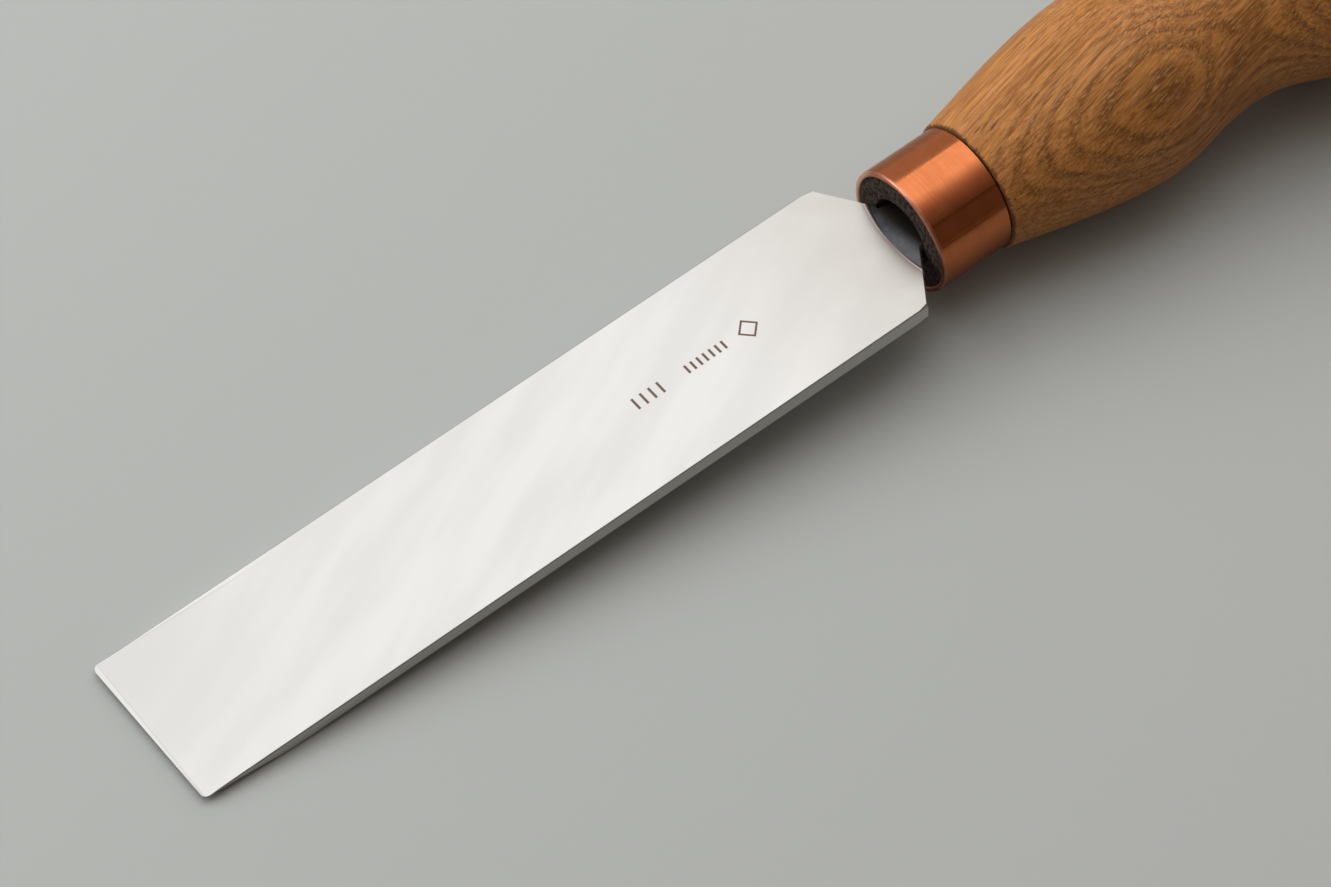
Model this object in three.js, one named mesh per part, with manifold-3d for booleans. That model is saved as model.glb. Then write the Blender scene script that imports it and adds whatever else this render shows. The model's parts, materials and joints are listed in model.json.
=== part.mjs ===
// A straight woodcarving chisel, 24 mm wide: a flat steel blade with sloping shoulders and a tang,
// glued into a bored hardwood handle that carries a plain copper ferrule.
//
// The tool is drawn in its own frame: x runs from the cutting edge to the end of the handle, z = 0
// is the handle's axis, and the ground face looks up. It is then laid on the plane z = 0 as it
// rests on a bench, on the heel of its bevel and on the handle. Lengths are in millimetres.

import * as THREE from 'three';
import { mergeVertices } from 'three/addons/utils/BufferGeometryUtils.js';
import Module from 'manifold-3d';

// ---- Driving dimensions ----

// Clearance that is left between two pieces that touch.
const gap = 0.3;

// Blade. Heights are above the handle's axis.
const bladeWidth = 24;
const shoulderX = 114.8;
const mouthX = 120.0;
const faceZ = 1.5;
const honeLength = 0.7;
const honeDrop = 0.12;
const heelX = 10.5;
const heelThickness = 2.0;
const rootThickness = 2.75;

// Neck, the unground stretch between the face and the mouth of the bore.
const neckWidth = 8.7;
const neckBottomZ = -1.9;
const neckDrop = 0.3;
const grindRadius = 25;
const grindX = 117.1;
const grindY = -2.5;

// Tang, a flat bar that tapers towards its end.
const tangRoot = { x: 118, halfWidth: 4.2, topZ: 1.15, bottomZ: -1.75 };
const tangEnd = { x: 183, halfWidth: 2.0, topZ: 0.9, bottomZ: -0.9 };

// Ferrule.
const ferruleRadius = 9.15;
const ferruleWall = 1.05;
const ferruleLength = 11.5;
const rimRadius = 0.45;
const ferruleChamfer = 0.2;

// Handle: where its outline has a crest, a hollow or an end.
const tenonX = mouthX + 0.15;
const bodyStart = { x: mouthX + ferruleLength + gap, r: 9.6 };
const swell = { x: 157.5, r: 14.05 };
const waist = { x: 173, r: 12.15 };
const bulb = { x: 203, r: 18.5 };
const buttX = 250;
const boreRadius = 4.9;
const boreEndX = 186;

// Resin around the tang, set back from the mouth of the bore.
const resinX = mouthX + 4.5;

const turnedSides = 48;

// ---- Solids ----

const wasm = await Module();
wasm.setup();

function toSolid(geometry) {
  geometry.deleteAttribute('normal');
  geometry.deleteAttribute('uv');
  const merged = mergeVertices(geometry, 1e-4);
  return new wasm.Manifold(new wasm.Mesh({
    numProp: 3,
    vertProperties: new Float32Array(merged.attributes.position.array),
    triVerts: new Uint32Array(merged.index.array),
  }));
}

function toGeometry(solid) {
  const { vertProperties, triVerts } = solid.getMesh();
  const geometry = new THREE.BufferGeometry();
  geometry.setAttribute('position', new THREE.BufferAttribute(vertProperties, 3));
  geometry.setIndex(new THREE.BufferAttribute(triVerts, 1));
  return geometry;
}

// A prism with the given outline, centred on the outline's plane.
function prism(outline) {
  const span = 60;
  const shape = new THREE.Shape(outline.map(([x, y]) => new THREE.Vector2(x, y)));
  const geometry = new THREE.ExtrudeGeometry(shape, { depth: span, bevelEnabled: false });
  return geometry.translate(0, 0, -span / 2);
}

// The solid that has one outline (x, y) from above and another (x, z) from the side.
function crossed(plan, side) {
  return toSolid(prism(plan)).intersect(toSolid(prism(side).rotateX(Math.PI / 2)));
}

// The same outline on the other side of the x axis, in the order that closes a polygon.
function mirrored(points) {
  return [...points, ...points.map(([x, y]) => [x, -y]).reverse()];
}

// Turns an outline of { x, r } points about the x axis.
function turned(outline) {
  const points = outline.map(({ x, r }) => new THREE.Vector2(r, x));
  return toSolid(new THREE.LatheGeometry(points, turnedSides).rotateZ(-Math.PI / 2));
}

// Points on a quarter circle between two compass angles, in degrees.
function arc(x, r, radius, fromAngle, toAngle, steps = 4) {
  return Array.from({ length: steps + 1 }, (_, i) => {
    const angle = THREE.MathUtils.degToRad(fromAngle + (toAngle - fromAngle) * i / steps);
    return { x: x + radius * Math.cos(angle), r: r + radius * Math.sin(angle) };
  });
}

// ---- Blade ----

function tangBar(grow) {
  const corner = ({ x, halfWidth }) => [x, halfWidth + grow];
  const plan = mirrored([corner(tangRoot), corner({ ...tangEnd, x: tangEnd.x + grow })]);
  const side = [
    [tangRoot.x, tangRoot.topZ + grow],
    [tangEnd.x + grow, tangEnd.topZ + grow],
    [tangEnd.x + grow, tangEnd.bottomZ - grow],
    [tangRoot.x, tangRoot.bottomZ - grow],
  ];
  return crossed(plan, side);
}

function bladeSolid() {
  const neckEndX = mouthX + 1;
  const plan = mirrored([
    [0, bladeWidth / 2],
    [shoulderX, bladeWidth / 2],
    [mouthX, neckWidth / 2],
    [neckEndX, neckWidth / 2],
  ]);
  const side = [
    [0, faceZ - honeDrop],
    [honeLength, faceZ],
    [neckEndX, faceZ],
    [neckEndX, neckBottomZ],
    [mouthX, neckBottomZ],
    [shoulderX, faceZ - rootThickness],
    [heelX, faceZ - heelThickness],
  ];
  const wheel = new THREE.CylinderGeometry(grindRadius, grindRadius, 10, 96).rotateX(Math.PI / 2);
  wheel.translate(grindX + grindRadius, grindY, faceZ - neckDrop + 5);
  return crossed(plan, side).subtract(toSolid(wheel)).add(tangBar(0));
}

// ---- Ferrule ----

function ferruleSolid() {
  const innerRadius = ferruleRadius - ferruleWall;
  const rearX = mouthX + ferruleLength;
  return turned([
    { x: rearX, r: innerRadius },
    ...arc(mouthX + rimRadius, innerRadius + rimRadius, rimRadius, 270, 180),
    ...arc(mouthX + rimRadius, ferruleRadius - rimRadius, rimRadius, 180, 90),
    { x: rearX - ferruleChamfer, r: ferruleRadius },
    { x: rearX, r: ferruleRadius - ferruleChamfer },
    { x: rearX, r: innerRadius },
  ]);
}

// ---- Handle ----

// One stretch of the outline: it leaves `from` and reaches `to` along the two guide points.
function stretch(from, guideFrom, guideTo, to) {
  const [a, b, c, d] = [from, guideFrom, guideTo, to].map(({ x, r }) => new THREE.Vector2(x, r));
  return new THREE.CubicBezierCurve(a, b, c, d).getPoints(9).map((p) => ({ x: p.x, r: p.y }));
}

function handleOutline() {
  return [
    ...stretch(bodyStart, { x: 139, r: 11.2 }, { x: 150, r: swell.r }, swell),
    ...stretch(swell, { x: 162.5, r: swell.r }, { x: 166.5, r: waist.r }, waist).slice(1),
    ...stretch(waist, { x: 184, r: waist.r }, { x: 186.5, r: bulb.r }, bulb).slice(1),
    ...stretch(bulb, { x: 222, r: bulb.r }, { x: buttX, r: 17 }, { x: buttX, r: 0 }).slice(1),
  ];
}

function handleSolid() {
  const tenonRadius = ferruleRadius - ferruleWall - gap;
  return turned([
    { x: boreEndX, r: 0 },
    { x: boreEndX, r: boreRadius },
    { x: tenonX, r: boreRadius },
    { x: tenonX, r: tenonRadius },
    { x: bodyStart.x, r: tenonRadius },
    ...handleOutline(),
  ]);
}

// ---- Resin ----

function resinSolid() {
  const radius = boreRadius - gap;
  const rearX = boreEndX - gap;
  const plug = turned([
    { x: resinX, r: 0 },
    { x: resinX, r: radius },
    { x: rearX, r: radius },
    { x: rearX, r: 0 },
  ]);
  return plug.subtract(tangBar(gap));
}

// ---- Assembly ----

const steel = new THREE.MeshStandardMaterial({ color: 0xdcdcd8, metalness: 0.9, roughness: 0.35 });
const copper = new THREE.MeshStandardMaterial({ color: 0xb9683f, metalness: 1.0, roughness: 0.25 });
const hardwood = new THREE.MeshStandardMaterial({ color: 0xb98450, metalness: 0, roughness: 0.55 });
const resin = new THREE.MeshStandardMaterial({ color: 0x1c1512, metalness: 0, roughness: 0.6 });

function piece(name, solid, material) {
  const mesh = new THREE.Mesh(toGeometry(solid), material);
  mesh.name = name;
  return mesh;
}

const tool = new THREE.Group();
tool.add(
  piece('blade', bladeSolid(), steel),
  piece('ferrule', ferruleSolid(), copper),
  piece('handle', handleSolid(), hardwood),
  piece('tang_resin', resinSolid(), resin),
);

// The bench touches the heel of the bevel and the lowest tangent to the handle.
const heelZ = faceZ - heelThickness;
const restSlope = Math.max(...handleOutline().map(({ x, r }) => (r + heelZ) / (x - heelX)));
tool.rotation.y = -Math.atan(restSlope);

const box = new THREE.Box3().setFromObject(tool, true);
tool.position.set(-(box.min.x + box.max.x) / 2, 0, -box.min.z);

const group = new THREE.Group();
group.add(tool);

export default group;
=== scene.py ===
"""A straight woodcarving chisel lying face up on a pale surface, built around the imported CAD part.

Every piece is modelled in the tool's own frame: x runs from the cutting edge to the end of the
handle, z = 0 is the handle's axis, and the ground face looks up. Lengths there are in millimetres.
The record's mount on the ground face says where that frame lies.
"""

import json
import math

import bpy
from mathutils import Matrix, Quaternion, Vector, noise


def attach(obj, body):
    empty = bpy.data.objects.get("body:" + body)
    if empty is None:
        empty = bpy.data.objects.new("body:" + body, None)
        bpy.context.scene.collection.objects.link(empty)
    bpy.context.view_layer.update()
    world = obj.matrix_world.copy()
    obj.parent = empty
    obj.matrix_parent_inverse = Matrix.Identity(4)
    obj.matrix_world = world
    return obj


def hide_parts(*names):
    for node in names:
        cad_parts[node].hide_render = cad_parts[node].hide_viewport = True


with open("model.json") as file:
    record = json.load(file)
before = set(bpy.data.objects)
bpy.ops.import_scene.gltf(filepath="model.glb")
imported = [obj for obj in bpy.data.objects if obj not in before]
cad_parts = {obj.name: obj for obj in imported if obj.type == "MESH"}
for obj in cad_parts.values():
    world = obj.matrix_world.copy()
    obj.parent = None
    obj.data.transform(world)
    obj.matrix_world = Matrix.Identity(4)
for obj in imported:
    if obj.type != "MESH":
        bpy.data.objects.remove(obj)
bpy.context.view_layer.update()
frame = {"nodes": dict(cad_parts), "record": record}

MM = 0.001

# Blade
FACE_Z = 1.5
FACE_MOUNT_X = 60.0
HALF_WIDTH = 12.0
TIP_CORNER = 0.9
EDGE_THICKNESS = 0.02
HONE_DROP = 0.05
HONE_AT_NEAR_CORNER = 0.15
HONE_AT_FAR_CORNER = 0.65
HEEL_X = 15.0
HEEL_THICKNESS = 2.03
ROOT_THICKNESS = 2.75
EDGE_BREAK = 0.12
MOST_BROKEN_SHARE = 0.3
SHOULDER_X = 114.8
SHOULDER_BREAK = 0.42
SHOULDER_BULGE = 0.15
MOUTH_X = 120.0
NECK_HALF_WIDTH = 4.35
NECK_BOTTOM_Z = -1.9
NECK_DROP = 0.3
NECK_END_X = 121.0
TANG_START_X = 121.6
TANG_END_X = 183.0
GRIND_RADIUS = 25.0
GRIND_CENTRE = (142.1, -2.5)
GRIND_RIM = 0.5

# Ferrule
FERRULE_RADIUS = 9.15
FERRULE_WALL = 0.8
FERRULE_LENGTH = 11.5
FERRULE_SIDES = 160
FERRULE_CHAMFER = 0.2
INNER_CHAMFER = 0.1
RIM_RADIUS = 0.36
RIM_STEPS = 8

# Handle
TENON_X = 120.15
TENON_RADIUS = 8.3
BORE_RADIUS = 4.9
BORE_END_X = 186.0
BODY_START = (131.62, 9.5)
BODY_ROUND_OFF = 0.25
HANDLE_SIDES = 192
CURVE_STEPS = 24
OUTLINE_CURVES = (
    (BODY_START, (139.0, 11.2), (150.0, 14.05), (157.5, 14.05)),
    ((157.5, 14.05), (162.5, 14.05), (166.5, 12.15), (173.0, 12.15)),
    ((173.0, 12.15), (184.0, 12.15), (186.5, 18.5), (203.0, 18.5)),
    ((203.0, 18.5), (222.0, 18.5), (250.0, 17.0), (250.0, 0.0)),
)


# ---- Meshes ----


def tool_matrix():
    """The placement of the tool's own frame, from the mount in the middle of the ground face."""
    mounts = frame["record"]["mounts"]
    face = next(m for m in mounts if m["name"] == "blade_face")
    up = Vector(face["axis"]).normalized()
    forward = Vector((up.z, 0, -up.x))
    turn = Matrix((forward, Vector((0, 1, 0)), up)).transposed()
    origin = Vector(face["pos_m"]) - turn @ (Vector((FACE_MOUNT_X, 0, FACE_Z)) * MM)
    return Matrix.Translation(origin) @ turn.to_4x4()


TOOL = tool_matrix()


def build_piece(name, points, faces, material, node, sharp_angle=35):
    """Makes a piece from points in the tool's frame, and hides the CAD node it stands for."""
    mesh = bpy.data.meshes.new(name)
    mesh.from_pydata([TOOL @ (Vector(p) * MM) for p in points], [], faces)
    mesh.validate()
    mesh.shade_smooth()
    mesh.set_sharp_from_angle(angle=math.radians(sharp_angle))
    mesh.materials.append(material)
    piece = bpy.data.objects.new(name, mesh)
    bpy.context.scene.collection.objects.link(piece)
    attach(piece, "root")
    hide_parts(node)


def loft(rings):
    """Points and faces of the skin through closed rings of equal length, with a cap at each end."""
    count = len(rings[0])
    points = [p for ring in rings for p in ring]
    faces = []
    for i in range(len(rings) - 1):
        for j in range(count):
            k = (j + 1) % count
            faces.append((i * count + j, i * count + k, (i + 1) * count + k, (i + 1) * count + j))
    faces.append(tuple(reversed(range(count))))
    faces.append(tuple(range(len(points) - count, len(points))))
    return points, faces


def lathe(outline, sides, closed=False):
    """Points and faces of an outline of (x, r) turned about the x axis. r = 0 makes a pole.

    The faces look outward where the outline has the solid on its right, with r drawn upward.
    """
    points, rings = [], []
    for x, r in outline:
        if r < 1e-6:
            rings.append([len(points)] * sides)
            points.append((x, 0.0, 0.0))
            continue
        rings.append(list(range(len(points), len(points) + sides)))
        for j in range(sides):
            angle = 2 * math.pi * j / sides
            points.append((x, r * math.cos(angle), r * math.sin(angle)))
    faces = []
    following = rings[1:] + rings[:1] if closed else rings[1:]
    for near, far in zip(rings, following):
        for j in range(sides):
            k = (j + 1) % sides
            corners = [near[j], near[k], far[k], far[j]]
            faces.append(tuple(dict.fromkeys(corners)))
    return points, faces


def quarter(x, r, radius, start, steps):
    """Points (x, r) on a quarter circle that starts at an angle in degrees and runs clockwise."""
    angles = [math.radians(start - 90 * i / steps) for i in range(steps + 1)]
    return [(x + radius * math.cos(a), r + radius * math.sin(a)) for a in angles]


def between(table, x):
    """Straight-line interpolation in a table of (x, value)."""
    for (x0, v0), (x1, v1) in zip(table, table[1:]):
        if x <= x1:
            return v0 + (v1 - v0) * (x - x0) / (x1 - x0)
    return table[-1][1]


# ---- Blade ----

# Half width behind the shoulders
PLAN = (
    (SHOULDER_X, HALF_WIDTH),
    (MOUTH_X, NECK_HALF_WIDTH),
    (NECK_END_X, NECK_HALF_WIDTH),
    (TANG_START_X, 4.07),
    (TANG_END_X, 2.0),
)
# Height of the underside, with a bevel that rounds off into its heel
UNDERSIDE = (
    (0.0, FACE_Z - HONE_DROP - EDGE_THICKNESS),
    (4.0, FACE_Z - 0.52),
    (8.0, FACE_Z - 1.14),
    (10.0, FACE_Z - 1.5),
    (12.0, FACE_Z - 1.84),
    (13.4, FACE_Z - 1.99),
    (HEEL_X, FACE_Z - HEEL_THICKNESS),
    (SHOULDER_X, FACE_Z - ROOT_THICKNESS),
    (MOUTH_X, NECK_BOTTOM_Z),
    (NECK_END_X, NECK_BOTTOM_Z),
    (TANG_START_X, -1.73),
    (TANG_END_X, -0.9),
)
# How far the top of the tang lies below the level of the ground face
TANG_TOP = (
    (NECK_END_X, NECK_DROP),
    (TANG_START_X, 0.37),
    (150.0, 0.48),
    (TANG_END_X, 0.6),
)

# Lines across the blade: slanted ones near the tip as (x at the -y edge, x at the +y edge), then
# straight ones on the bevel, and every 2 mm from there to the shoulders
TIP_LINES = ((0.28, 0.72), (0.4, 0.8), (0.6, 0.9), (0.85, 1.0))
BEVEL_LINES = (1.2, 2.0, 4.0, 6.0, 8.0, 10.0, 12.0, 13.4, HEEL_X)
BLADE_LINES = range(16, 114, 2)
BEFORE_SHOULDER_X = 113.4
BEFORE_SHOULDER_BULGE = 0.05

COLUMNS = 36


def half_width(x):
    """Half the width of the blade, neck or tang at a distance from the cutting edge."""
    if x < TIP_CORNER:
        return HALF_WIDTH - TIP_CORNER + math.sqrt(TIP_CORNER**2 - (TIP_CORNER - x) ** 2)
    return HALF_WIDTH if x < SHOULDER_X else between(PLAN, x)


def grind_x(y):
    """Where the ground face ends, on the circle that the grinding left."""
    centre_x, centre_y = GRIND_CENTRE
    return centre_x - math.sqrt(GRIND_RADIUS**2 - (y - centre_y) ** 2)


def grind_corner(side):
    """Where that circle crosses the shoulder on one side, +1 or -1."""
    low, high = SHOULDER_X, MOUTH_X
    for _ in range(40):
        x = (low + high) / 2
        if x < grind_x(side * half_width(x)):
            low = x
        else:
            high = x
    return low


def blade_stations():
    """Lines across the blade: (x at the -y edge, x at the +y edge, bulge towards the tip, drop)."""
    stations = []
    for share in (0.0, 0.33, 0.66, 1.0):
        drop = HONE_DROP * (1 - share)
        stations.append((HONE_AT_NEAR_CORNER * share, HONE_AT_FAR_CORNER * share, 0, drop))
    stations += [(near, far, 0, 0) for near, far in TIP_LINES]
    stations += [(x, x, 0, 0) for x in (*BEVEL_LINES, *BLADE_LINES)]
    stations.append((BEFORE_SHOULDER_X, BEFORE_SHOULDER_X, BEFORE_SHOULDER_BULGE, 0))
    stations.append((SHOULDER_X, SHOULDER_X, SHOULDER_BULGE, 0))

    near, far = grind_corner(-1), grind_corner(1)
    middle = (half_width(far) - half_width(near)) / 2
    bulge = (near + far) / 2 - grind_x(middle)
    for share in (0.25, 0.5, 0.75, 0.92, 1.0):
        x0 = SHOULDER_X + (near - SHOULDER_X) * share
        x1 = SHOULDER_X + (far - SHOULDER_X) * share
        stations.append((x0, x1, SHOULDER_BULGE + (bulge - SHOULDER_BULGE) * share, 0))

    # A lip that curves down from the ground face, and stops just before it stands upright
    lip_steps = 7
    lip_reach = 0.98
    for i in range(1, lip_steps + 1):
        share = i / lip_steps
        out = GRIND_RIM * share
        drop = NECK_DROP * (1 - math.sqrt(1 - share**2 * lip_reach))
        stations.append((near + out, far + out, bulge, drop))
    for share in (0.25, 0.5, 0.75, 1.0):
        x0 = near + GRIND_RIM + (MOUTH_X - near - GRIND_RIM) * share
        x1 = far + GRIND_RIM + (MOUTH_X - far - GRIND_RIM) * share
        stations.append((x0, x1, bulge * (1 - share), NECK_DROP))
    stations += [(x, x, 0, drop) for x, drop in TANG_TOP]
    return stations


def blade_ring(near_x, far_x, bulge, drop):
    """A closed ring round the blade, from the top's +y edge over the -y side and back below."""
    y0, y1 = -half_width(near_x), half_width(far_x)
    top, bottom = [], []
    middle_x = (near_x + far_x) / 2
    thickness = FACE_Z - drop - between(UNDERSIDE, middle_x)
    cut = EDGE_BREAK if middle_x < SHOULDER_X else SHOULDER_BREAK
    cut = min(cut, MOST_BROKEN_SHARE * thickness)
    for i in range(COLUMNS + 1):
        t = 1 - 2 * i / COLUMNS
        x = near_x + (far_x - near_x) * (t + 1) / 2 - bulge * (1 - t * t)
        y = y0 + cut + (y1 - y0 - 2 * cut) * (t + 1) / 2
        top.append((x, y, FACE_Z - drop))
        bottom.append((x, y, between(UNDERSIDE, x)))
    near_side = [(near_x, y0, FACE_Z - drop - cut), (near_x, y0, between(UNDERSIDE, near_x) + cut)]
    far_side = [(far_x, y1, between(UNDERSIDE, far_x) + cut), (far_x, y1, FACE_Z - drop - cut)]
    return top + near_side + bottom[::-1] + far_side


def make_blade():
    points, faces = loft([blade_ring(*station) for station in blade_stations()])
    steel = steel_material()
    build_piece("chisel_blade", points, faces, steel, "blade", sharp_angle=28)


# ---- Ferrule and handle ----


def make_ferrule():
    inner = FERRULE_RADIUS - FERRULE_WALL
    rear = MOUTH_X + FERRULE_LENGTH
    front = MOUTH_X + RIM_RADIUS
    outline = [(rear - FERRULE_CHAMFER, FERRULE_RADIUS), (rear, FERRULE_RADIUS - FERRULE_CHAMFER)]
    outline += [(rear, inner + INNER_CHAMFER), (rear - INNER_CHAMFER, inner)]
    outline += quarter(front, inner + RIM_RADIUS, RIM_RADIUS, 270, RIM_STEPS)
    outline += quarter(front, FERRULE_RADIUS - RIM_RADIUS, RIM_RADIUS, 180, RIM_STEPS)
    outline += [(MOUTH_X + behind, FERRULE_RADIUS) for behind in (2, 4, 6, 8)]
    points, faces = lathe(outline, FERRULE_SIDES, closed=True)
    build_piece("ferrule_ring", points, faces, copper_material(), "ferrule")


def handle_outline():
    """The turned outline behind the ferrule, as points (x, r)."""
    outline = []
    for a, b, c, d in OUTLINE_CURVES:
        a, b, c, d = (Vector(p) for p in (a, b, c, d))
        for i in range(1 if outline else 0, CURVE_STEPS + 1):
            t = i / CURVE_STEPS
            u = 1 - t
            p = u**3 * a + 3 * u * u * t * b + 3 * u * t * t * c + t**3 * d
            outline.append((p.x, p.y))
    return outline


def roughen(points):
    """Makes the tenon's end grain and the front edge of the handle's body slightly rough."""
    frequency = 2.1
    pit_depth, edge_depth, edge_spread = 0.12, 0.1, 0.006
    end_grain_x = TENON_X + 0.05
    edge_x, edge_reach = BODY_START[0] + 0.15, 0.2
    roughened = []
    for x, y, z in points:
        rough = noise.noise(Vector((x, y * frequency, z * frequency)))
        outside_ferrule = math.hypot(y, z) > FERRULE_RADIUS
        if x < end_grain_x:
            x += pit_depth * abs(rough)
        elif abs(x - edge_x) < edge_reach and outside_ferrule:
            x += edge_depth * rough
            y *= 1 + edge_spread * rough
            z *= 1 + edge_spread * rough
        roughened.append((x, y, z))
    return roughened


def make_handle():
    body = handle_outline()
    start_x, start_r = body[0]
    bore = [(BORE_END_X, 0.0), (BORE_END_X, BORE_RADIUS), (150.0, BORE_RADIUS)]
    mouth = [(TENON_X + 0.35, BORE_RADIUS), (TENON_X + 0.1, BORE_RADIUS + 0.08)]
    grain_start, grain_step = BORE_RADIUS + 0.25, 0.35
    end_grain = [(TENON_X, grain_start + grain_step * i) for i in range(9)]
    tenon = [(TENON_X + 0.1, TENON_RADIUS), (start_x, TENON_RADIUS)]
    front_edge = [
        (start_x, TENON_RADIUS + 0.1),
        (start_x, start_r - BODY_ROUND_OFF),
        (start_x + 0.07, start_r - 0.07),
        (start_x + BODY_ROUND_OFF, start_r + 0.09),
    ]
    outline = bore + mouth + end_grain + tenon + front_edge + body[1:]
    points, faces = lathe(outline, HANDLE_SIDES)
    points = roughen(points)
    wood = wood_material()
    build_piece("turned_handle", points, faces, wood, "handle", sharp_angle=40)


# ---- Materials ----


class Nodes:
    """Builds one material's nodes. An input may be a number, a tuple or another node's output."""

    def __init__(self, name):
        self.material = bpy.data.materials.new(name)
        self.material.use_nodes = True
        self.tree = self.material.node_tree
        self.shader = self.tree.nodes["Principled BSDF"]
        place = self.node("TexCoord", out="Object")
        place = self.node("VectorMath", {0: place, 1: TOOL.translation}, operation="SUBTRACT")
        along = [self.dot(place, axis.to_3d() / MM) for axis in TOOL.col[:3]]
        self.mm = self.node("CombineXYZ", dict(enumerate(along)))

    def feed(self, socket, value):
        """Links another node's output to a socket, or sets the socket to a number or tuple."""
        if isinstance(value, bpy.types.NodeSocket):
            self.tree.links.new(value, socket)
        else:
            socket.default_value = value

    def node(self, kind, inputs=None, out=0, **settings):
        """Makes a node, feeds its inputs and returns one of its outputs."""
        made = self.tree.nodes.new("ShaderNode" + kind)
        for key, value in settings.items():
            setattr(made, key, value)
        for key, value in (inputs or {}).items():
            self.feed(made.inputs[key], value)
        return made.outputs[out]

    def math(self, operation, a, b=0.0, c=0.0):
        return self.node("Math", {0: a, 1: b, 2: c}, operation=operation)

    def dot(self, a, b):
        return self.node("VectorMath", {0: a, 1: b}, out="Value", operation="DOT_PRODUCT")

    def times(self, first, *others):
        """The product of several values."""
        for other in others:
            first = self.math("MULTIPLY", first, other)
        return first

    def xyz(self, vector):
        return [self.node("SeparateXYZ", {0: vector}, out=axis) for axis in "XYZ"]

    def stretched(self, vector, x, y, z):
        """The vector divided by a feature size in millimetres along each axis."""
        return self.node("VectorMath", {0: vector, 1: (1 / x, 1 / y, 1 / z)}, operation="MULTIPLY")

    def noise(self, vector, detail=2.0, roughness=0.5, distortion=0.0):
        inputs = {"Vector": vector, "Scale": 1.0, "Detail": detail, "Roughness": roughness}
        return self.node("TexNoise", {**inputs, "Distortion": distortion}, out="Fac")

    def span(self, value, low, high, to_low=0.0, to_high=1.0, smooth=True):
        """Takes a value from low..high to to_low..to_high, with no overshoot."""
        inputs = {"Value": value, "From Min": low, "From Max": high}
        inputs.update({"To Min": to_low, "To Max": to_high})
        kind = "SMOOTHSTEP" if smooth else "LINEAR"
        return self.node("MapRange", inputs, interpolation_type=kind)

    def blend(self, share, a, b):
        """Colour a where share is 0, and colour b where it is 1."""
        made = self.tree.nodes.new("ShaderNodeMix")
        made.data_type = "RGBA"
        self.feed(made.inputs["Factor"], share)
        for socket, value in zip((made.inputs[6], made.inputs[7]), (a, b)):
            self.feed(socket, (*value, 1.0) if isinstance(value, tuple) else value)
        return made.outputs[2]

    def bump(self, height, distance_mm, strength):
        inputs = {"Height": height, "Distance": distance_mm * MM, "Strength": strength}
        return self.node("Bump", inputs)

    def set(self, **values):
        """Feeds the shader's own sockets. An underscore stands for a space in a socket's name."""
        for key, value in values.items():
            self.feed(self.shader.inputs[key.replace("_", " ")], value)


def any_of(n, masks):
    """The greatest of several masks."""
    total = masks[0]
    for mask in masks[1:]:
        total = n.math("MAXIMUM", total, mask)
    return total


def inside(n, value, centre, half, soft=0.03):
    """1 where a value is within half of centre, 0 outside."""
    off = n.math("ABSOLUTE", n.math("SUBTRACT", value, centre))
    return n.span(off, half - soft, half + soft, 1.0, 0.0)


# Each row of ticks on the blade: x of its first tick, pitch, number of ticks, half their height
TICK_ROWS = ((76.2, 1.35, 4, 0.95), (84.6, 1.0, 7, 0.7))
DIAMOND_X = 94.6
DIAMOND_REACH = 1.45


def plain_mark(n, x, y):
    """A plain burnt-in size mark: two rows of upright ticks and an open diamond."""
    core, rim, margin, outline = 0.14, 0.22, 0.3, 0.2
    mark = []
    for start, pitch, count, height in TICK_ROWS:
        end = start + pitch * (count - 1)
        from_tick = n.math("PINGPONG", n.math("SUBTRACT", x, start), pitch / 2)
        tick = n.span(from_tick, core, rim, 1.0, 0.0)
        zone = inside(n, x, (start + end) / 2, (end - start) / 2 + margin)
        mark.append(n.times(tick, zone, inside(n, y, 0.0, height)))
    from_middle = n.math("ABSOLUTE", n.math("SUBTRACT", x, DIAMOND_X))
    reach = n.math("ADD", from_middle, n.math("ABSOLUTE", y))
    mark.append(inside(n, reach, DIAMOND_REACH, outline))
    return any_of(n, mark)


def edge_strips(n, x, y):
    """Masks of the polished strips on the cutting edge and the far edge, and of their borders."""
    hone_seen = 0.8
    far_strip_width, far_strip_widening = 0.16, 0.022
    near, far = HONE_AT_NEAR_CORNER, HONE_AT_FAR_CORNER
    hone = n.span(y, -HALF_WIDTH, HALF_WIDTH, near, far, smooth=False)
    behind_hone = n.math("SUBTRACT", x, hone)
    far_strip = n.math("SUBTRACT", HALF_WIDTH - far_strip_width, n.times(x, far_strip_widening))
    beside_far_strip = n.math("SUBTRACT", far_strip, y)
    far_strip_seen = n.times(n.span(x, 5.0, 9.0), n.span(x, 16.0, 30.0, 1.0, 0.0))
    strips, borders = [], []
    for offset, seen in ((behind_hone, hone_seen), (beside_far_strip, far_strip_seen)):
        strips.append(n.times(n.span(offset, -0.04, 0.02, 1.0, 0.0), seen))
        borders.append(n.times(inside(n, offset, 0.08, 0.06), seen))
    return any_of(n, strips), any_of(n, borders)


def grind_reach(n, x, y):
    """The distance from the centre of the grinding circle."""
    centre_x, centre_y = GRIND_CENTRE
    dx = n.math("SUBTRACT", x, centre_x)
    dy = n.math("SUBTRACT", y, centre_y)
    return n.math("SQRT", n.math("ADD", n.times(dx, dx), n.times(dy, dy)))


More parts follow.
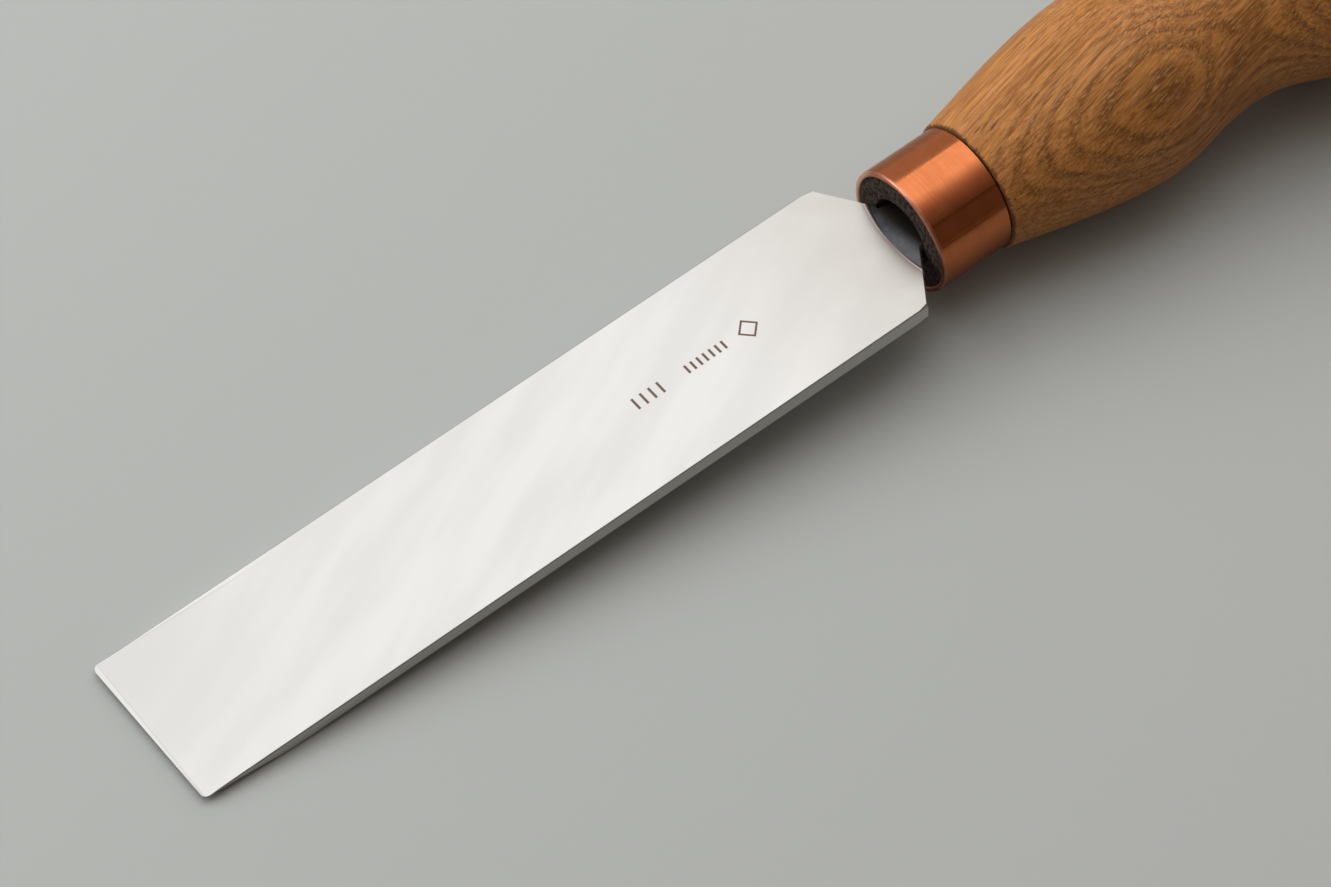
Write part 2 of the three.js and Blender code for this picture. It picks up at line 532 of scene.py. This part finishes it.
def ground_colour(n, x, y, z):
    """The satin grind: soft slanted clouds, darker at the rear and tip, polished at its edges."""
    bright, grey = (0.44, 0.436, 0.425), (0.408, 0.404, 0.394)
    rear_grey, tip_grey = (0.342, 0.326, 0.306), (0.39, 0.387, 0.377)
    polished, border = (0.49, 0.484, 0.468), (0.31, 0.305, 0.295)
    side_grey = (0.60, 0.585, 0.56)
    cloud_slope = 0.45

    slant = n.node("CombineXYZ", {0: x, 1: n.math("MULTIPLY_ADD", x, -cloud_slope, y), 2: 0.0})
    clouds = n.noise(n.stretched(slant, 26.0, 5.5, 5.5), detail=2.5, roughness=0.5)
    patches = n.noise(n.stretched(n.mm, 6.0, 4.0, 4.0), detail=4.0, roughness=0.6)
    rear = n.times(n.span(x, 86.0, 122.0), n.span(patches, 0.2, 0.6, 0.75, 1.0))
    tip = n.times(n.span(x, 2.0, 32.0, 1.0, 0.0), n.span(y, -12.0, 10.0, 0.2, 1.0))
    strips, borders = edge_strips(n, x, y)
    sides = n.span(z, FACE_Z - 0.2, FACE_Z - 0.1, 1.0, 0.0)

    colour = n.blend(n.span(clouds, 0.35, 0.68), bright, grey)
    colour = n.blend(rear, colour, rear_grey)
    colour = n.blend(tip, colour, tip_grey)
    colour = n.blend(n.times(strips, 0.4), colour, polished)
    colour = n.blend(n.times(borders, 0.7), colour, border)
    return n.blend(sides, colour, side_grey)


def scale_colour(n, x, y, lip):
    """The dark forging scale on the neck. Its -y side is greyer as painted light, it turns black
    towards and inside the bore as partly burnt-in scale and partly painted shade, and the lip
    carries a painted reflection of the copper ferrule.
    """
    dark, light = (0.05, 0.056, 0.072), (0.125, 0.135, 0.16)
    painted_lit_grey, black, lip_copper_reflection_pink = (0.24, 0.235, 0.245), (0.014, 0.010, 0.008), (0.74, 0.55, 0.52)

    speckle = n.noise(n.stretched(n.mm, 1.1, 0.8, 0.8), detail=5.0, roughness=0.7)
    into_bore = n.math("MULTIPLY_ADD", y, 0.12, x)
    colour = n.blend(n.span(speckle, 0.3, 0.7), dark, light)
    # Painted light: the neck's -y side, lit beside the ferrule's shade, is made greyer.
    colour = n.blend(n.span(y, -4.2, 3.0, 0.45, 0.0), colour, painted_lit_grey)
    # Partly burnt-in scale, partly painted shade of the ferrule and the bore: the neck turns black
    # towards and inside the bore.
    colour = n.blend(n.span(into_bore, 118.3, 120.6), colour, black)
    # Painted reflection of the copper ferrule, in pink on the lip.
    return n.blend(n.times(lip, 0.85), colour, lip_copper_reflection_pink)


def steel_material():
    n = Nodes("ground_steel")
    burnt = (0.10, 0.05, 0.03)
    x, y, z = n.xyz(n.mm)

    reach = grind_reach(n, x, y)
    scale_edge = GRIND_RADIUS - GRIND_RIM
    scaled = n.span(reach, scale_edge - 0.15, scale_edge + 0.1, 1.0, 0.0)
    scaled = n.math("MAXIMUM", scaled, n.span(x, MOUTH_X - 1.0, MOUTH_X))
    # The lip where the ground face curves down to the neck; scale_colour paints a reflection of the
    # copper ferrule on it.
    lip_middle = GRIND_RADIUS - 0.22
    from_lip = n.math("ABSOLUTE", n.math("SUBTRACT", reach, lip_middle))
    lip = n.span(from_lip, 0.06, 0.25, 1.0, 0.0)
    scaled = n.math("MAXIMUM", scaled, lip)

    mark = n.times(plain_mark(n, x, y), n.span(z, 1.2, 1.4))
    top = n.blend(mark, ground_colour(n, x, y, z), burnt)
    scratches = n.noise(n.stretched(n.mm, 0.12, 9.0, 9.0), detail=3.0, roughness=0.7)
    rough = n.math("ADD", scaled, n.times(scratches, 0.2))
    n.set(
        Base_Color=n.blend(scaled, top, scale_colour(n, x, y, lip)),
        Metallic=n.span(n.math("MAXIMUM", mark, scaled), 0.0, 1.0, 1.0, 0.35, smooth=False),
        Roughness=n.span(rough, 0.0, 1.0, 0.3, 0.5),
        Normal=n.bump(scratches, 0.004, 0.35),
    )
    return n.material


def copper_material():
    n = Nodes("satin_copper")
    clean, stained, turned = (0.46, 0.142, 0.053), (0.405, 0.122, 0.046), (0.30, 0.087, 0.032)
    rim_pink, rim_brown, rim_painted_highlight = (0.46, 0.19, 0.118), (0.31, 0.124, 0.072), (0.9, 0.56, 0.43)
    x, y, _ = n.xyz(n.mm)

    turning = n.noise(n.stretched(n.mm, 0.22, 16.0, 16.0), detail=3.0, roughness=0.75)
    stain_place = n.stretched(n.mm, 2.5, 3.5, 3.5)
    stain = n.noise(stain_place, detail=4.0, roughness=0.6, distortion=0.4)
    rim = n.span(x, MOUTH_X + 0.35, MOUTH_X + 0.6, 1.0, 0.0)
    colour = n.blend(n.span(stain, 0.35, 0.75), clean, stained)
    colour = n.blend(n.span(turning, 0.42, 0.62, 0.0, 0.2), colour, turned)
    rim_colour = n.blend(n.span(stain, 0.35, 0.7), rim_pink, rim_brown)
    # Painted highlight: the rim's +y end is made bright and pale.
    rim_colour = n.blend(n.span(y, 5.5, 8.3), rim_colour, rim_painted_highlight)
    satin = n.span(turning, 0.35, 0.65, 0.12, 0.2)
    n.set(
        Base_Color=n.blend(rim, colour, rim_colour),
        Metallic=1.0,
        Roughness=n.math("MULTIPLY_ADD", rim, 0.2, satin),
        Normal=n.bump(turning, 0.003, 0.3),
        Specular_Tint=(0.9, 0.78, 0.72, 1.0),
    )
    return n.material


# The tree's centre as a straight line beside the tool, and its growth rings about that line.
PITH_X = 160.0
PITH_Y, PITH_Z = 70.67, -66.02
GRAIN_SLOPE_Y, GRAIN_SLOPE_Z = 0.155, 0.162
OUTER_RING = 109.85
RING_WIDTH = 0.925


def along_grain(n):
    """Coordinates in millimetres in which the wood's fibres run along x."""
    x, y, z = n.xyz(n.mm)
    run = n.math("SUBTRACT", x, PITH_X)
    y = n.math("MULTIPLY_ADD", run, -GRAIN_SLOPE_Y, y)
    z = n.math("MULTIPLY_ADD", run, -GRAIN_SLOPE_Z, z)
    return n.node("CombineXYZ", {0: x, 1: y, 2: z})


def ring_phase(n, fibres):
    """The number of rings in from the outermost one; it is whole at each dark line."""
    sway = n.noise(n.stretched(fibres, 16.0, 5.0, 5.0), detail=2.0)
    tremble = n.noise(n.stretched(fibres, 6.0, 0.6, 0.6), detail=1.5)
    across = n.node("VectorMath", {0: fibres, 1: (0, PITH_Y, PITH_Z)}, operation="SUBTRACT")
    across = n.node("VectorMath", {0: across, 1: (0, 1, 1)}, operation="MULTIPLY")
    reach = n.node("VectorMath", {0: across}, operation="LENGTH", out="Value")
    reach = n.math("ADD", reach, n.span(sway, 0.3, 0.7, -0.14, 0.14, smooth=False))
    reach = n.math("ADD", reach, n.span(tremble, 0.3, 0.7, -0.06, 0.06, smooth=False))
    return n.math("DIVIDE", n.math("SUBTRACT", OUTER_RING, reach), RING_WIDTH)


def wood_material():
    n = Nodes("oiled_hardwood")
    gold, tan, blushed = (0.405, 0.162, 0.030), (0.50, 0.212, 0.054), (0.405, 0.158, 0.056)
    strand_brown, fibre_light = (0.172, 0.058, 0.0105), (0.58, 0.29, 0.126)
    fibre_dark, fleck_light = (0.155, 0.055, 0.011), (0.56, 0.31, 0.125)
    band_brown, line_brown = (0.135, 0.048, 0.0085), (0.09, 0.030, 0.006)
    pit_brown, pore_brown = (0.09, 0.033, 0.008), (0.09, 0.03, 0.008)
    gap_shade_brown = (0.05, 0.022, 0.011)
    char_black, char_brown = (0.008, 0.006, 0.005), (0.072, 0.048, 0.037)

    # Growth rings: a thin dark line, then a dark band that thins out. Both are broken up, and both
    # are fainter in the inner rings.
    fibres = along_grain(n)
    phase = ring_phase(n, fibres)
    place = n.math("FRACT", phase)
    from_line = n.math("PINGPONG", phase, 0.5)
    broken = n.noise(n.stretched(fibres, 8.0, 0.6, 0.6), detail=2.0, roughness=0.6)
    fading = n.span(phase, 2.5, 5.0, 1.0, 0.4)
    line = n.times(n.span(from_line, 0.01, 0.14, 1.0, 0.0), fading)
    line = n.times(line, n.span(broken, 0.36, 0.6, 0.15, 1.0))
    band = n.times(n.span(place, 0.0, 0.06), n.span(place, 0.12, 0.6, 1.0, 0.0))
    band = n.times(band, fading, n.span(broken, 0.34, 0.6, 0.45, 1.0))

    tone = n.noise(n.stretched(fibres, 26.0, 4.0, 4.0), detail=3.0)
    blush = n.noise(n.stretched(fibres, 18.0, 1.8, 1.8), detail=2.0)
    strands = n.noise(n.stretched(fibres, 9.0, 0.42, 0.42), detail=3.0, roughness=0.65)
    fine = n.noise(n.stretched(fibres, 3.2, 0.14, 0.14), detail=2.0, roughness=0.6)
    dashes = n.noise(n.stretched(fibres, 1.3, 0.17, 0.17), detail=1.0)
    pores = n.noise(n.stretched(fibres, 16.0, 0.24, 0.24), detail=0.0)
    pore = n.span(pores, 0.71, 0.76)
    fleck = n.times(n.span(dashes, 0.55, 0.65), band)
    pit = n.times(n.span(dashes, 0.32, 0.44, 1.0, 0.0), band)

    colour = n.blend(n.span(tone, 0.3, 0.7), gold, tan)
    colour = n.blend(n.span(blush, 0.45, 0.7, 0.0, 0.6), colour, blushed)
    colour = n.blend(n.span(strands, 0.38, 0.64, 0.0, 0.66), colour, strand_brown)
    colour = n.blend(n.span(fine, 0.5, 0.72, 0.0, 0.56), colour, fibre_light)
    colour = n.blend(n.span(fine, 0.28, 0.5, 0.5, 0.0), colour, fibre_dark)
    colour = n.blend(n.times(band, 0.68), colour, band_brown)
    colour = n.blend(n.times(line, 0.44), colour, line_brown)
    colour = n.blend(n.times(pit, 0.35), colour, pit_brown)
    colour = n.blend(n.times(fleck, 0.62), colour, fleck_light)
    colour = n.blend(n.times(pore, 0.7), colour, pore_brown)

    # The ragged dark line against the ferrule, which is painted shade of the gap there, and the
    # charred end grain inside it
    x = n.xyz(n.mm)[0]
    ragged = n.math("ADD", x, n.span(broken, 0.35, 0.65, -0.2, 0.15))
    front_edge = n.span(ragged, BODY_START[0], BODY_START[0] + 0.3, 0.75, 0.0)
    colour = n.blend(front_edge, colour, gap_shade_brown)
    end_grain = n.span(x, TENON_X + 0.25, TENON_X + 0.4, 1.0, 0.0)
    char = n.noise(n.stretched(fibres, 3.0, 0.55, 0.9), detail=4.0, roughness=0.75)
    charred = n.blend(n.span(char, 0.4, 0.62), char_black, char_brown)
    colour = n.blend(end_grain, colour, charred)

    height = n.math("MULTIPLY_ADD", pore, -1.0, n.times(fine, 0.3))
    height = n.math("ADD", height, n.times(char, end_grain, 3.0))
    rough = n.span(strands, 0.3, 0.8, 0.5, 0.62)
    n.set(
        Base_Color=colour,
        Roughness=n.math("MAXIMUM", rough, n.times(end_grain, 0.9)),
        Normal=n.bump(height, 0.05, 0.5),
        Specular_IOR_Level=0.2,
    )
    return n.material


def resin_material():
    n = Nodes("set_resin")
    black, brown = (0.006, 0.005, 0.004), (0.022, 0.016, 0.012)
    grit = n.noise(n.stretched(n.mm, 0.4, 0.4, 0.4), detail=4.0, roughness=0.7)
    n.set(
        Base_Color=n.blend(grit, black, brown),
        Roughness=n.span(grit, 0.3, 0.7, 0.45, 0.7),
        Normal=n.bump(grit, 0.05, 0.6),
    )
    return n.material


def floor_material():
    n = Nodes("pale_surface")
    pale_grey = (0.372, 0.391, 0.382, 1.0)
    n.set(Base_Color=pale_grey, Roughness=0.7, Specular_IOR_Level=0.2)
    return n.material


# ---- Surroundings ----


def make_camera():
    """The photograph's viewing angle."""
    azimuth, elevation, roll = math.radians(-42.397), math.radians(53.31), math.radians(4.80)
    target = Vector((-49.41, -7.05, 8.0)) * MM
    distance = 0.6337
    flat = math.cos(elevation)
    back = Vector((math.sin(azimuth) * flat, -math.cos(azimuth) * flat, math.sin(elevation)))
    camera = bpy.data.objects.new("camera", bpy.data.cameras.new("camera"))
    bpy.context.scene.collection.objects.link(camera)
    camera.data.sensor_width = 36.0
    camera.data.lens = 135.24
    camera.data.clip_start = 0.01
    camera.location = target + back * distance
    camera.rotation_mode = "QUATERNION"
    level = (-back).to_track_quat("-Z", "Y")
    camera.rotation_quaternion = level @ Quaternion((0, 0, 1), roll)
    bpy.context.scene.camera = camera


def make_floor():
    size = 4.0
    mesh = bpy.data.meshes.new("floor")
    corners = [(-size, -size, 0), (size, -size, 0), (size, size, 0), (-size, size, 0)]
    mesh.from_pydata(corners, [], [(0, 1, 2, 3)])
    mesh.materials.append(floor_material())
    floor = bpy.data.objects.new("floor", mesh)
    bpy.context.scene.collection.objects.link(floor)


WHITE = (1.0, 1.0, 1.0)
WARM = (1.0, 0.9, 0.8)
SLIGHTLY_WARM = (1.0, 0.9, 0.83)
ROOM_BROWN = (0.072, 0.046, 0.031, 1.0)

# The overhead panel is a row of strips, from back to front. PANEL_EDGES is the y at each strip's
# ends, and the strips in front of WARM_FROM_Y are slightly warm.
PANEL_HEIGHT = 0.9
PANEL_X = 0.15
PANEL_WIDTH = 1.2
PANEL_EDGES = (0.9, 0.03, -0.05, -0.13, -0.21, -0.3, -0.4, -0.52, -0.68, -0.95)
PANEL_RADIANCES = (2.0, 1.65, 1.3, 0.95, 0.66, 0.46, 0.33, 0.24, 0.15)
WARM_FROM_Y = -0.1

# Lights that stand round the tool: name, azimuth from +X towards +Y and elevation in degrees,
# distance, (width, height), radiance and colour
STANDING_LIGHTS = (
    ("window_left", 145, 29, 1.05, (0.82, 0.53), 4.3, WHITE),
    ("back_left", 108, 32, 1.2, (0.7, 0.5), 2.5, WHITE),
    ("right_back", 28, 42, 1.2, (0.6, 0.5), 1.2, WHITE),
    ("window_front", 190, 24, 1.4, (0.7, 0.5), 1.6, WHITE),
    ("window_right", 10, 24, 1.4, (0.7, 0.5), 1.8, WHITE),
    ("backdrop", 67, 21, 1.6, (2.2, 1.35), 0.62, WHITE),
    ("front_fill", 270, 24, 1.5, (2.4, 0.8), 0.085, WARM),
    ("front_right", 325, 20, 1.5, (1.2, 0.9), 0.12, WARM),
    ("front_strip", 270, 5, 1.5, (2.4, 0.06), 0.3, WARM),
)


def area_light(name, place, target, size, radiance, colour):
    """A rectangular soft light of a given brightness, as seen from the tool."""
    light = bpy.data.lights.new(name, "AREA")
    light.shape = "RECTANGLE"
    light.size, light.size_y = size
    light.energy = radiance * math.pi * size[0] * size[1]
    light.color = colour
    lamp = bpy.data.objects.new(name, light)
    bpy.context.scene.collection.objects.link(lamp)
    lamp.location = place
    lamp.rotation_mode = "QUATERNION"
    lamp.rotation_quaternion = (Vector(target) - Vector(place)).to_track_quat("-Z", "Y")


def from_sky(azimuth, elevation, distance):
    """A place in the direction of an azimuth from +X towards +Y and an elevation, in degrees."""
    a, e = math.radians(azimuth), math.radians(elevation)
    return Vector((math.cos(a) * math.cos(e), math.sin(a) * math.cos(e), math.sin(e))) * distance


def make_lights():
    """A light tent: an overhead panel that dims towards the front, and lights on every side."""
    for back, front, radiance in zip(PANEL_EDGES, PANEL_EDGES[1:], PANEL_RADIANCES):
        middle = (back + front) / 2
        name = f"overhead_{round(100 * middle)}"
        place = (PANEL_X, middle, PANEL_HEIGHT)
        size = (PANEL_WIDTH, back - front)
        colour = WHITE if middle > WARM_FROM_Y else SLIGHTLY_WARM
        area_light(name, place, (PANEL_X, middle, 0), size, radiance, colour)
    for name, azimuth, elevation, distance, size, radiance, colour in STANDING_LIGHTS:
        place = from_sky(azimuth, elevation, distance)
        area_light(name, place, (0, 0, 0), size, radiance, colour)


def make_room():
    """A dim brown room outside the light tent, and plain colour management."""
    world = bpy.data.worlds.new("room")
    world.use_nodes = True
    world.node_tree.nodes["Background"].inputs["Color"].default_value = ROOM_BROWN
    bpy.context.scene.world = world
    bpy.context.scene.view_settings.view_transform = "Standard"


make_camera()
make_floor()
make_lights()
make_room()
make_blade()
make_ferrule()
make_handle()
frame["nodes"]["tang_resin"].data.materials.clear()
frame["nodes"]["tang_resin"].data.materials.append(resin_material())
